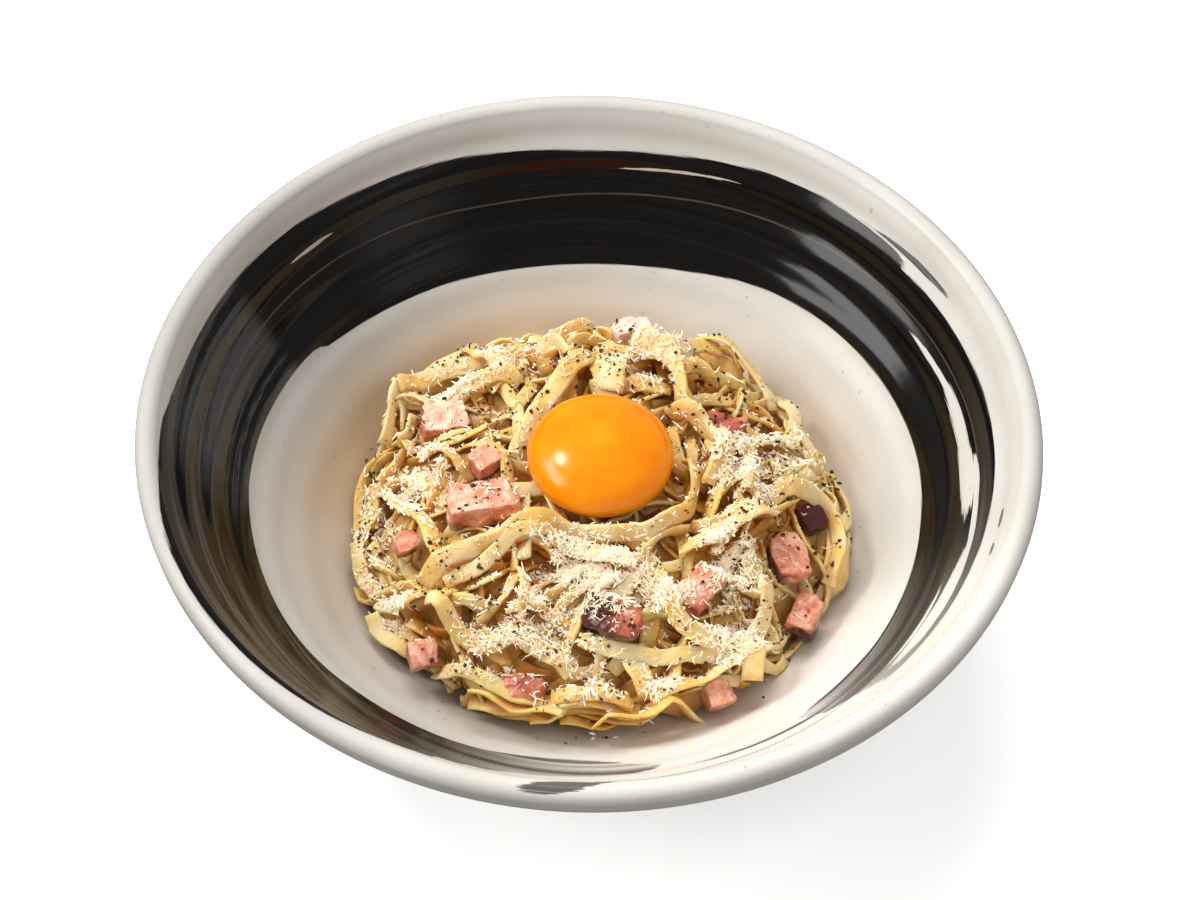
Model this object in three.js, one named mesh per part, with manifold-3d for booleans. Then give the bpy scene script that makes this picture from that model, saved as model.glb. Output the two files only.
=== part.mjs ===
// Pasta carbonara in a thrown stoneware bowl: the bowl, the heap of fettuccine with grated
// cheese, a raw egg yolk in a nest on top, and diced bacon. Millimetres, +Z up, origin at
// the middle of the foot ring's underside.
import * as THREE from 'three';
import { mergeVertices } from 'three/addons/utils/BufferGeometryUtils.js';
import Module from 'manifold-3d';

const wasm = await Module();
wasm.setup();

// ---- Driving dimensions ----
const rimRadius = 118;
const lipRound = 3.2;
const lipHeight = 73.3;
const lipEnd = 145;
const footRadius = 44;
const footWidth = 7;
const footHeight = 6;
const floorUnderside = 5.5;
const turnSteps = 60;
const clearance = 0.35;

const heapCentre = [1.5, 0];
const heapRadius = 68;
const heapEdgeHeight = 25;
const heapRise = 28.5;
const nestDepth = 4;
const nestShare = 0.8;
const coreDepth = 1.6;
const coreShare = 0.965;
const coreBump = 0.8;

const strandWidth = 7;
const strandThickness = 1.9;
const strandStep = 5.8;

const yolkCentre = [3, 0, 61];
const yolkRadius = 19.3;
const yolkHalfHeight = 10.7;

const shredLength = 7;
const shredThickness = 1.1;
const shredCount = 28;
const shredLift = 0.9;
const shredSlope = 0.5;

const dieRoughness = 0.13;

// ---- Seeded random numbers ----
function randomFrom(seed) {
  let state = seed;
  return () => {
    state = (state + 0x6d2b79f5) | 0;
    let mixed = Math.imul(state ^ (state >>> 15), 1 | state);
    mixed = (mixed + Math.imul(mixed ^ (mixed >>> 7), 61 | mixed)) ^ mixed;
    return ((mixed ^ (mixed >>> 14)) >>> 0) / 4294967296;
  };
}

// ---- Between three.js geometries and solids that can be joined and cut ----
function toSolid(geometry) {
  const bare = geometry.clone();
  bare.deleteAttribute('normal');
  bare.deleteAttribute('uv');
  const merged = mergeVertices(bare, 1e-4);
  return new wasm.Manifold(new wasm.Mesh({
    numProp: 3,
    vertProperties: new Float32Array(merged.attributes.position.array),
    triVerts: new Uint32Array(merged.index.array),
  }));
}

// The outer skin of a solid's largest body. Loose scraps and sealed hollows are dropped.
function largestBody(solid) {
  const { vertProperties, triVerts } = solid.getMesh();
  const parent = Array.from({ length: vertProperties.length / 3 }, (_, i) => i);
  const root = (i) => {
    while (parent[i] !== i) {
      parent[i] = parent[parent[i]];
      i = parent[i];
    }
    return i;
  };
  for (let i = 0; i < triVerts.length; i += 3) {
    parent[root(triVerts[i + 1])] = root(triVerts[i]);
    parent[root(triVerts[i + 2])] = root(triVerts[i]);
  }
  const corner = (i) => new THREE.Vector3().fromArray(vertProperties, triVerts[i] * 3);
  const volumes = new Map();
  for (let i = 0; i < triVerts.length; i += 3) {
    const key = root(triVerts[i]);
    const piece = corner(i).dot(corner(i + 1).cross(corner(i + 2))) / 6;
    volumes.set(key, (volumes.get(key) ?? 0) + piece);
  }
  const largest = [...volumes].sort((a, b) => b[1] - a[1])[0][0];
  const kept = [];
  for (let i = 0; i < triVerts.length; i += 3) {
    if (root(triVerts[i]) === largest) {
      kept.push(triVerts[i], triVerts[i + 1], triVerts[i + 2]);
    }
  }
  const geometry = new THREE.BufferGeometry();
  geometry.setAttribute('position', new THREE.BufferAttribute(new Float32Array(vertProperties), 3));
  geometry.setIndex(kept);
  const skin = mergeVertices(geometry.toNonIndexed(), 1e-4);
  skin.computeVertexNormals();
  return skin;
}

// ---- Bowl ----
// A point on the rolled lip, by its angle up from the outside.
function lipPoint(degrees) {
  const turn = THREE.MathUtils.degToRad(degrees);
  const middle = new THREE.Vector2(rimRadius - lipRound, lipHeight);
  return new THREE.Vector2(Math.cos(turn), Math.sin(turn)).multiplyScalar(lipRound).add(middle);
}

// The inside from the middle of the floor up to the lip, as [radius, height].
const innerWall = new THREE.SplineCurve([
  ...[[0, 11], [30, 12], [50, 16.5], [67, 25.5], [78, 33.5], [88, 42.5], [99, 55], [106, 65.6]]
    .map(([x, y]) => new THREE.Vector2(x, y)),
  lipPoint(lipEnd),
]);

const outerWall = new THREE.SplineCurve([
  [footRadius + 2, footHeight + 2.5], [62, 16.5], [80, 28.5], [96, 43.5], [107, 56], [113.5, 64.5],
  [rimRadius - 1, lipHeight - 4.3], [rimRadius, lipHeight],
].map(([x, y]) => new THREE.Vector2(x, y)));

function turned(profile, steps = turnSteps) {
  return new THREE.LatheGeometry(profile, steps).rotateX(Math.PI / 2);
}

function bowl() {
  const foot = [
    [0, floorUnderside], [footRadius - footWidth - 1, floorUnderside - 0.5],
    [footRadius - footWidth, 0], [footRadius, 0], [footRadius + 0.5, footHeight],
  ].map(([x, y]) => new THREE.Vector2(x, y));
  const lip = [45, 90].map(lipPoint);
  const inside = innerWall.getPoints(12).reverse();
  return turned([...foot, ...outerWall.getPoints(7), ...lip, ...inside]);
}

// The space inside the bowl, a little smaller all round and with every second facet.
function cavity() {
  const wall = innerWall.getPoints(12).map((point) => point.setY(point.y + clearance));
  return turned([...wall, new THREE.Vector2(0, lipHeight)], turnSteps / 2);
}

// ---- Heap of pasta ----
function heapReach(turn) {
  return heapRadius * (1 + 0.02 * Math.cos(turn - 0.4) + 0.02 * Math.sin(3 * turn + 1.2)
    + 0.014 * Math.sin(7 * turn + 2.1));
}

function heapTop(x, y) {
  const dx = x - heapCentre[0];
  const dy = y - heapCentre[1];
  const share = Math.min(Math.hypot(dx, dy) / heapReach(Math.atan2(dy, dx)), 0.995);
  const nest = Math.hypot(x - yolkCentre[0], y - yolkCentre[1]) / (nestShare * yolkRadius);
  return heapEdgeHeight + heapRise * Math.sqrt(1 - share ** 4) - nestDepth * Math.exp(-(nest ** 4));
}

function heapNormal(x, y) {
  const reach = 1.5;
  const slopeX = (heapTop(x + reach, y) - heapTop(x - reach, y)) / (2 * reach);
  const slopeY = (heapTop(x, y + reach) - heapTop(x, y - reach)) / (2 * reach);
  return new THREE.Vector3(-slopeX, -slopeY, 1).normalize();
}

// The core under the strands: a turned dome whose skin is pressed to the heap's form, with
// bumps about as wide as a strand.
function heapCore() {
  const rings = 11;
  const spokes = 40;
  const skin = Array.from({ length: rings + 1 }, (_, i) => {
    const share = (1 - i / rings) ** 0.8;
    return new THREE.Vector2(share, 1);
  });
  const dome = turned([new THREE.Vector2(0, 0), new THREE.Vector2(1, 0), ...skin], spokes);
  const place = dome.attributes.position;
  for (let i = 0; i < place.count; i += 1) {
    const turn = Math.atan2(place.getY(i), place.getX(i));
    const share = Math.hypot(place.getX(i), place.getY(i));
    const reach = coreShare * share * heapReach(turn);
    const x = heapCentre[0] + reach * Math.cos(turn);
    const y = heapCentre[1] + reach * Math.sin(turn);
    const bumps = Math.sin(0.55 * x + 1.3 * Math.sin(0.3 * y)) * Math.sin(0.6 * y + 0.4 * x);
    const top = heapTop(x, y) - coreDepth + coreBump * bumps;
    place.setXYZ(i, x, y, place.getZ(i) > 0.5 ? top : 0);
  }
  return dome;
}

// A strand's centre line: a route over the heap, seen from above, lifted off its surface.
// Its frames lay the strand's width flat on the heap and roll it by its bank angle.
class Strand extends THREE.Curve {
  constructor({ route, bank = 0, lift = 0 }) {
    super();
    this.plan = new THREE.CatmullRomCurve3(
      route.map(([x, y]) => new THREE.Vector3(x, y, 0)), false, 'centripetal');
    this.bank = THREE.MathUtils.degToRad(bank);
    this.lift = lift;
  }

  getPoint(t, target = new THREE.Vector3()) {
    this.plan.getPoint(t, target);
    target.z = heapTop(target.x, target.y) + this.lift;
    return target;
  }

  computeFrenetFrames(steps) {
    const frames = { tangents: [], normals: [], binormals: [] };
    for (let i = 0; i <= steps; i += 1) {
      const tangent = this.getTangentAt(i / steps);
      const at = this.getPointAt(i / steps);
      const across = heapNormal(at.x, at.y).cross(tangent).normalize();
      const normal = across.applyAxisAngle(tangent, this.bank);
      frames.tangents.push(tangent);
      frames.normals.push(normal);
      frames.binormals.push(tangent.clone().cross(normal));
    }
    return frames;
  }
}

function strand(course) {
  const curve = new Strand(course);
  const [w, t] = [strandWidth / 2, strandThickness / 2];
  const corners = [[-w, -t], [w, -t], [w, t], [-w, t]].map(([x, y]) => new THREE.Vector2(x, y));
  const section = new THREE.Shape(corners);
  const steps = Math.max(2, Math.round(curve.getLength() / strandStep));
  return new THREE.ExtrudeGeometry(section, { steps, extrudePath: curve, bevelEnabled: false });
}

// The strands that lie uppermost, each by its bank and lift and the places that it passes.
const topStrands = [
  {
    bank: 50, lift: 1.6,
    route: [[-40, -33], [-25, -25], [-12, -21.5], [8, -23.5], [19, -22], [26, -16], [29, -8], [27, 0]],
  },
  { bank: 20, lift: 0.6, route: [[-38, -38], [-25, -30], [-11, -27], [6, -28]] },
  { bank: 25, lift: 0.6, route: [[23, -26], [34, -22], [48, -14]] },
  { bank: 30, lift: 0.8, route: [[41, -27], [47, -34], [46, -43], [34, -53], [20, -56], [6, -54]] },
  { bank: 60, lift: 1.2, route: [[20, -41], [24, -48], [33, -52]] },
  { bank: 15, lift: 0.6, route: [[-54, -30], [-43, -30], [-38, -37], [-36, -44]] },
  { bank: 35, lift: 0.8, route: [[-41, -42], [-36, -50], [-25, -54], [-15, -52], [-9, -57], [-6, -62]] },
  { bank: 25, lift: 0.6, route: [[-42, -51], [-31, -59], [-17, -62], [2, -64], [14, -63]] },
  { bank: 40, lift: 0.6, route: [[-57, 1], [-62, -6], [-60, -18], [-54, -27]] },
  { bank: 15, lift: 0.4, route: [[-52, 32], [-44, 42], [-34, 48], [-22, 47]] },
  { bank: 0, lift: 0.6, route: [[-34, 54], [-27, 43], [-20, 32]] },
  { bank: 35, lift: 0.8, route: [[-19, 12], [-17, 23], [-9, 33], [2, 40]] },
  { bank: 0, lift: 0.4, route: [[4, 51], [4, 38], [6, 27]] },
  { bank: 30, lift: 0.8, route: [[12, 40], [20, 38], [25, 29], [24, 20]] },
  { bank: 20, lift: 0.4, route: [[26, 53], [36, 44], [46, 40]] },
  { bank: 40, lift: 0.8, route: [[20, 18], [27, 21], [36, 9], [35, -6], [30, -15]] },
  { bank: 20, lift: 0.6, route: [[32, -6], [36, 3], [44, 10]] },
  { bank: 10, lift: 0.4, route: [[48, -7], [57, -1], [63, 4]] },
  { bank: 0, lift: 0.8, route: [[14, -55], [15, -64]] },
  { bank: 0, lift: 0.6, route: [[47, -46], [42, -55]] },
];

// Strands between them: arcs of a turn or less round points spread over the heap.
function betweenStrands() {
  const random = randomFrom(41);
  const count = 11;
  return Array.from({ length: count }, (_, i) => {
    const turn = i * 2.4;
    const out = 22 + 24 * Math.sqrt((i + 0.5) / count);
    const radius = 9 + 7 * random();
    const start = turn + Math.PI * random();
    const sweep = 2.2 + 1.6 * random();
    const route = Array.from({ length: 6 }, (__, j) => {
      const angle = start + sweep * j / 5;
      const x = out * Math.cos(turn) + radius * Math.cos(angle);
      const y = out * Math.sin(turn) + radius * Math.sin(angle);
      const limit = Math.min(1, 0.92 * heapRadius / Math.hypot(x, y));
      return [heapCentre[0] + x * limit, heapCentre[1] + y * limit];
    });
    return { route, bank: 10 + 35 * random(), lift: -0.2 + 0.5 * random() };
  });
}

// Grated cheese: thin square shreds lying on the heap in three drifts.
const cheeseDrifts = [[4, -36, 17], [-27, 34, 14], [42, 2, 14]];

function cheeseShred(random) {
  const [cx, cy, spread] = cheeseDrifts[Math.floor(random() * cheeseDrifts.length)];
  const turn = 2 * Math.PI * random();
  const out = spread * Math.sqrt(random());
  const x = cx + out * Math.cos(turn);
  const y = cy + out * Math.sin(turn);
  const length = shredLength * (0.6 + 0.6 * random());
  const shred = new THREE.BoxGeometry(length, shredThickness, shredThickness);
  shred.rotateY(shredSlope * (random() - 0.5));
  shred.rotateZ(2 * Math.PI * random());
  return shred.translate(x, y, heapTop(x, y) + shredLift + 0.5 * random());
}

function pasta(toppings) {
  const random = randomFrom(7);
  let heap = toSolid(heapCore());
  for (const course of [...betweenStrands(), ...topStrands]) {
    heap = heap.add(toSolid(strand(course)));
  }
  for (let i = 0; i < shredCount; i += 1) {
    heap = heap.add(toSolid(cheeseShred(random)));
  }
  heap = heap.intersect(toSolid(cavity()));
  for (const topping of toppings) {
    heap = heap.subtract(toSolid(topping));
  }
  return largestBody(heap);
}

// ---- Egg yolk ----
function yolk(growth = 0) {
  return new THREE.SphereGeometry(1, 24, 12)
    .rotateX(Math.PI / 2)
    .scale(yolkRadius + growth, yolkRadius + growth, yolkHalfHeight + growth)
    .translate(...yolkCentre);
}

// ---- Bacon ----
// Each die by its middle, its length, width and height, and its turn and lean in degrees.
const baconDice = [
  { at: [-39, 21, 48.5], size: [14, 10, 8], turn: 8, lean: 12 },
  { at: [-28, 4, 52], size: [8, 7, 7], turn: 40, lean: 10 },
  { at: [-28, -10, 52], size: [19, 12, 8], turn: 12, lean: -8 },
  { at: [-48, -18, 44.5], size: [7, 6, 6], turn: 30, lean: 20 },
  { at: [-42, -47, 35], size: [8, 8, 8], turn: 15, lean: 25 },
  { at: [-16, -58.5, 37], size: [12, 7, 7], turn: -8, lean: 20 },
  { at: [7, -44, 48.5], size: [16, 11, 9], turn: -18, lean: 12 },
  { at: [29, -35, 49], size: [15, 9, 9], turn: 55, lean: 15 },
  { at: [35, -56, 32.5], size: [8, 7, 8], turn: 20, lean: 20 },
  { at: [58, -30.5, 33], size: [8, 11, 9], turn: -25, lean: 15 },
  { at: [53, -19, 43], size: [10, 13, 9], turn: 15, lean: 18 },
  { at: [59.5, -4, 40.5], size: [7, 8, 7], turn: 30, lean: 10 },
  { at: [36, 17, 51.5], size: [12, 9, 8], turn: -15, lean: 6 },
  { at: [11, 55.5, 45], size: [11, 8, 8], turn: 25, lean: -20 },
  { at: [18, -16.5, 54.5], size: [5, 4.5, 4.5], turn: 35, lean: 0 },
];

function baconDie({ at, size, turn, lean }, index, growth = 0) {
  const random = randomFrom(100 + index);
  const die = new THREE.BoxGeometry(1, 1, 1, 2, 2, 2);
  die.deleteAttribute('normal');
  die.deleteAttribute('uv');
  const skin = mergeVertices(die, 1e-4);
  const place = skin.attributes.position;
  const point = new THREE.Vector3();
  for (let i = 0; i < place.count; i += 1) {
    point.fromBufferAttribute(place, i);
    const rounding = 1.16 - 0.36 * point.length();
    point.multiplyScalar(rounding * (0.95 + dieRoughness * random()));
    place.setXYZ(i, point.x * (size[0] + 2 * growth), point.y * (size[1] + 2 * growth),
      point.z * (size[2] + 2 * growth));
  }
  skin.rotateX(THREE.MathUtils.degToRad(lean));
  skin.rotateZ(THREE.MathUtils.degToRad(turn));
  return skin.translate(...at);
}

// ---- Materials and assembly ----
const glaze = new THREE.MeshStandardMaterial({ color: 0xd9d2c2, roughness: 0.25, metalness: 0 });
const noodle = new THREE.MeshStandardMaterial({ color: 0xe6cf98, roughness: 0.45, metalness: 0 });
const egg = new THREE.MeshStandardMaterial({ color: 0xf59a0c, roughness: 0.12, metalness: 0 });
const bacon = new THREE.MeshStandardMaterial({ color: 0xd98a80, roughness: 0.5, metalness: 0 });

function piece(name, geometry, material) {
  const mesh = new THREE.Mesh(geometry, material);
  mesh.name = name;
  return mesh;
}

const dish = new THREE.Group();
dish.add(piece('bowl', bowl(), glaze));
const grown = [yolk(clearance), ...baconDice.map((die, i) => baconDie(die, i, clearance))];
dish.add(piece('pasta', pasta(grown), noodle));
dish.add(piece('egg_yolk', yolk(), egg));
baconDice.forEach((die, i) => {
  const name = `bacon_${String(i + 1).padStart(2, '0')}`;
  dish.add(piece(name, baconDie(die, i), bacon));
});

export default dish;
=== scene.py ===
import math
import bmesh
import bpy
import numpy as np
from mathutils import Matrix, Vector, noise
from mathutils.bvhtree import BVHTree


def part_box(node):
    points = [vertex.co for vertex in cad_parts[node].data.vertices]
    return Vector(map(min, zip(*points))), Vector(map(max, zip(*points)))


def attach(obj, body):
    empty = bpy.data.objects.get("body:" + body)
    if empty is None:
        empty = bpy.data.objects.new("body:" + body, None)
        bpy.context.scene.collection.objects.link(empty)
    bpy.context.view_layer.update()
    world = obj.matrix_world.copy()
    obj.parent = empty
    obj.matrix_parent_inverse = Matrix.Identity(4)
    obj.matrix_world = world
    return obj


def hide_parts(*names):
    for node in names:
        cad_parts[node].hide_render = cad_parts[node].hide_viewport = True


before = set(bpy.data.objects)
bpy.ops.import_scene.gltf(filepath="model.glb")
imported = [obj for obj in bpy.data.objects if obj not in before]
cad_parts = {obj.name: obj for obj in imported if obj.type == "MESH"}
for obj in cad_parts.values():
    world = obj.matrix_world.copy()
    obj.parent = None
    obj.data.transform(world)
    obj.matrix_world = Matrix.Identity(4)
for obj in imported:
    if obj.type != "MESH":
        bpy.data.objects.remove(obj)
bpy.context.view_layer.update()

# ---- Camera ----
# A long lens on a stand in front of the bowl, looking down into it at about 51 degrees, with the
# stand's head a little off level.
MM = 0.001
rim_centre = Vector((0, 0, 72 * MM))
camera_elevation = math.radians(51.0)
camera_distance = 1.0
camera_roll = math.radians(1.3)
aim_right = 2.7 * MM
aim_up = -5.4 * MM

camera_back = Vector((0, -math.cos(camera_elevation), math.sin(camera_elevation)))
camera_data = bpy.data.cameras.new("camera")
camera_data.lens = 115.1
camera_data.sensor_width = 36
camera = bpy.data.objects.new("camera", camera_data)
camera.location = rim_centre + camera_back * camera_distance
level_right = Vector((1, 0, 0))
level_up = camera_back.cross(level_right)
tilted_right = level_right * math.cos(camera_roll) + level_up * math.sin(camera_roll)
tilted_up = camera_back.cross(tilted_right)
aim = rim_centre + tilted_right * aim_right + tilted_up * aim_up
view_back = (camera.location - aim).normalized()
view_right = tilted_up.cross(view_back).normalized()
view_up = view_back.cross(view_right)
camera.rotation_euler = Matrix((view_right, view_up, view_back)).transposed().to_euler()
bpy.context.collection.objects.link(camera)
bpy.context.scene.camera = camera

# ---- Studio ----
# An evenly lit pale room, with a large soft box low on the left as the main light, a small round
# one above it, a window high behind, a white card in front on the right, and a pale floor.
bpy.context.scene.view_settings.view_transform = "Standard"


class Wire:
    """A socket of a node tree. Sums and products of wires and numbers add Math nodes."""

    def __init__(self, tree, socket=None):
        self.tree = tree
        self.socket = socket

    def node(self, kind, sockets=None, output=0, stops=None, points=None, **settings):
        made = self.tree.nodes.new("ShaderNode" + kind)
        for name, value in settings.items():
            setattr(made, name, value)
        if stops:
            ramp = made.color_ramp.elements
            while len(ramp) < len(stops):
                ramp.new(1.0)
            for element, (place, colour) in zip(ramp, stops):
                element.position = place
                element.color = (*colour, 1)
        if points:
            line = made.mapping.curves[0].points
            while len(line) < len(points):
                line.new(0.5, 0.5)
            for point, place in zip(line, points):
                point.location = place
            made.mapping.update()
        for key, value in (sockets or {}).items():
            if isinstance(value, Wire):
                self.tree.links.new(value.socket, made.inputs[key])
            else:
                made.inputs[key].default_value = value
        return Wire(self.tree, made.outputs[output])

    def math(self, operation, *others):
        return self.node("Math", dict(enumerate((self, *others))), operation=operation)

    def __add__(self, other):
        return self.math("ADD", other)

    __radd__ = __add__

    def __mul__(self, other):
        return self.math("MULTIPLY", other)

    def __sub__(self, other):
        return self.math("SUBTRACT", other)

    def __rsub__(self, other):
        return self * -1 + other

    def part(self, axis):
        """This vector's X, Y or Z, for 0, 1 or 2."""
        return self.node("SeparateXYZ", {0: self}, axis)

    def step(self, low, high):
        """0 up to low, 1 from high, and a smooth rise between them."""
        ends = {"Value": self, "From Min": low, "From Max": high}
        return self.node("MapRange", ends, interpolation_type="SMOOTHSTEP")

    def noise(self, scale, detail=2.0, rough=0.5):
        """A noise on this vector, with the scale in features to one unit of it."""
        settings = {"Vector": self, "Scale": scale, "Detail": detail, "Roughness": rough}
        return self.node("TexNoise", settings)

    def ramp(self, *stops):
        """The colours of these stops, each a place from 0 to 1 and its colour."""
        return self.node("ValToRGB", {0: self}, stops=stops)

    def mix(self, first, second):
        """The first colour where this wire is 0, the second where it is 1."""
        # Inputs 6 and 7 and output 2 are the node's colours.
        return self.node("Mix", {0: self, 6: first, 7: second}, 2, data_type="RGBA")

    def bump(self, strength, distance):
        """A normal that is bent by this wire's height."""
        settings = {"Strength": strength, "Distance": distance, "Height": self}
        return self.node("Bump", settings)


def new_material(name):
    material = bpy.data.materials.new(name)
    material.use_nodes = True
    material.node_tree.nodes.remove(material.node_tree.nodes["Principled BSDF"])
    return material, Wire(material.node_tree)


def finish_material(tree, **sockets):
    """Joins a Principled shader, with these sockets, to the material's output."""
    named = {name.replace("_", " "): value for name, value in sockets.items()}
    shader = tree.node("BsdfPrincipled", named)
    tree.tree.links.new(shader.socket, tree.tree.nodes["Material Output"].inputs["Surface"])


world = bpy.data.worlds.new("pale_room")
bpy.context.scene.world = world
world.use_nodes = True
world.node_tree.nodes["Background"].inputs["Color"].default_value = (1.0, 0.99, 0.97, 1)
world.node_tree.nodes["Background"].inputs["Strength"].default_value = 0.29


def soft_box(name, azimuth, elevation, distance, shape, width, height, watts, colour):
    data = bpy.data.lights.new(name, "AREA")
    data.shape = shape
    data.size = width
    data.size_y = height
    data.energy = watts
    data.color = colour
    lamp = bpy.data.objects.new(name, data)
    turn, rise = math.radians(azimuth), math.radians(elevation)
    flat = math.cos(rise)
    place = Vector((math.cos(turn) * flat, math.sin(turn) * flat, math.sin(rise)))
    lamp.location = rim_centre + place * distance
    lamp.rotation_euler = place.to_track_quat("Z", "Y").to_euler()
    bpy.context.collection.objects.link(lamp)
    return lamp


def smooth_object(name, mesh):
    """An object of this mesh, with smooth shading."""
    for face in mesh.faces:
        face.smooth = True
    data = bpy.data.meshes.new(name)
    mesh.to_mesh(data)
    mesh.free()
    made = bpy.data.objects.new(name, data)
    bpy.context.collection.objects.link(made)
    return made


daylight = (1.0, 0.99, 0.965)
soft_box("key_box", 188, 30, 1.5, "RECTANGLE", 1.0, 0.5, 11.8, daylight)
soft_box("round_box", 166, 49, 1.3, "DISK", 0.29, 0.29, 7.2, (1.0, 0.98, 0.95))
for name, azimuth, elevation, watts in (("window", 97, 61, 16), ("card", -54, 55, 6)):
    lamp = soft_box(name, azimuth, elevation, 1.5, "RECTANGLE", 0.9, 0.8, watts, daylight)
    lamp.visible_glossy = False

floor_mesh = bmesh.new()
bmesh.ops.create_grid(floor_mesh, x_segments=2, y_segments=2, size=4.0)
studio_floor = smooth_object("floor", floor_mesh)
floor_material, floor_tree = new_material("pale_floor")
finish_material(floor_tree, Base_Color=(0.93, 0.93, 0.93, 1), Roughness=0.9,
                Emission_Color=(1, 1, 1, 1), Emission_Strength=0.45)
studio_floor.data.materials.append(floor_material)
studio_floor.visible_diffuse = False
studio_floor.visible_glossy = False

# ---- Bowl ----
# Stoneware thrown on a wheel: the fingers leave low rings up the inside, and the lip is rolled
# over. It is dipped in ivory glaze and banded inside with one round of a loaded black brush.
rim_radius = 118.0
lip_round = 3.2
lip_height = 73.3
ring_pitch = 11.0
ring_depth = 0.28
turn_steps = 256
inner_steps = 12
outer_steps = 8
inner_points = [(0, 11), (30, 12), (50, 16.5), (67, 25.5), (78, 33.5), (88, 42.5), (99, 55),
                (106, 65.6), (112.2, 75.1)]
outer_points = [(46, 8.5), (62, 16.5), (80, 28.5), (96, 43.5), (107, 56), (113.5, 64.5),
                (117, 69), (118, 73.3)]
foot_points = [(0, 5.5), (20, 5.4), (34, 5.1), (35.8, 4.6), (36.4, 1.0), (37, 0.25), (37.6, 0),
               (43.2, 0), (43.9, 0.3), (44.2, 1.2), (44.6, 5), (44.9, 7)]


def spline(points, count):
    """A Catmull-Rom curve through the points, with count steps between each two."""
    line = np.array(points, float)
    line = np.vstack([2 * line[0] - line[1], line, 2 * line[-1] - line[-2]])
    share = np.arange(count)[:, None] / count
    parts = []
    for a, b, c, d in zip(line[:-3], line[1:-2], line[2:-1], line[3:]):
        parts.append(0.5 * (2 * b + (c - a) * share + (2 * a - 5 * b + 4 * c - d) * share ** 2
                            + (3 * b - a - 3 * c + d) * share ** 3))
    return np.vstack([*parts, line[-2]])


def ringed(points):
    """The inner wall's points, moved in and out by the thrower's rings, which fade out."""
    step = np.gradient(points, axis=0)
    length = np.hypot(*step.T)
    along = np.cumsum(length)
    outward = np.stack([step[:, 1], -step[:, 0]], 1) / length[:, None]
    from_lip = along[-1] - along
    wave = np.cos(2 * math.pi * (from_lip - 7.2) / ring_pitch)
    fade = np.clip(along / 60, 0, 1) ** 2 * np.clip(from_lip / 6, 0, 1)
    fade *= 1 - 0.65 * np.clip((from_lip - 42) / 8, 0, 1)
    return points + outward * (ring_depth * wave * fade)[:, None]


def spin_up(mesh, outline, steps):
    """Joins these points in a line and turns it round the Z axis."""
    edges = [mesh.edges.new(pair) for pair in zip(outline[:-1], outline[1:])]
    bmesh.ops.spin(mesh, geom=outline + edges, cent=(0, 0, 0), axis=(0, 0, 1),
                   angle=2 * math.pi, steps=steps, use_merge=True)
    bmesh.ops.remove_doubles(mesh, verts=mesh.verts, dist=1e-6)


lip_turns = np.radians(np.arange(10, 141, 10))
lip_arc = np.stack([rim_radius - lip_round + lip_round * np.cos(lip_turns),
                    lip_height + lip_round * np.sin(lip_turns)], 1)
inner_wall = ringed(spline(inner_points, inner_steps))
profile = np.vstack([foot_points, spline(outer_points, outer_steps), lip_arc, inner_wall[::-1]])

# Each point keeps its distance inward along the wall from the rim's outer line, in mm.
bowl_mesh = bmesh.new()
along_layer = bowl_mesh.verts.layers.float.new("along")
lip_start = len(foot_points) + outer_steps * (len(outer_points) - 1)
lengths = np.concatenate([[0], np.cumsum(np.hypot(*np.diff(profile, axis=0).T))])
outline = []
for (radius, height), length in zip(profile, lengths - lengths[lip_start]):
    vert = bowl_mesh.verts.new((radius * MM, 0, height * MM))
    vert[along_layer] = length
    outline.append(vert)
spin_up(bowl_mesh, outline, turn_steps)
bmesh.ops.recalc_face_normals(bowl_mesh, faces=bowl_mesh.faces)
bowl = smooth_object("stoneware_bowl", bowl_mesh)


def object_place(tree):
    """A point's place on its object, in metres."""
    return tree.node("TexCoord", output=3)


def stored(tree, name):
    """The value that the mesh's points keep under this name."""
    return tree.node("Attribute", output=2, attribute_name=name)


glaze, tree = new_material("ivory_glaze_black_band")
spot = object_place(tree)
across, back, height = (spot.part(way) for way in range(3))
along = stored(tree, "along")
degrees = back.math("ARCTAN2", across) * (180 / math.pi)


def unrolled(flat_scale, down_scale):
    """A vector for noises, in features to 1 m across the bowl and to 1 mm along its wall."""
    parts = {0: across * flat_scale, 1: back * flat_scale, 2: along * down_scale}
    return across.node("CombineXYZ", parts)


around = unrolled(22, 1.0)
wobble = around.noise(1.6, 3) - 0.5
fine_wobble = around.noise(7.0, 3) - 0.5
streaks = unrolled(9, 1.5).noise(1.0, 5, 0.65)
hairs = unrolled(14, 3.2).noise(1.0, 3, 0.6)
washes = unrolled(3, 0.24).noise(1.0, 3, 0.6)

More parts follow.
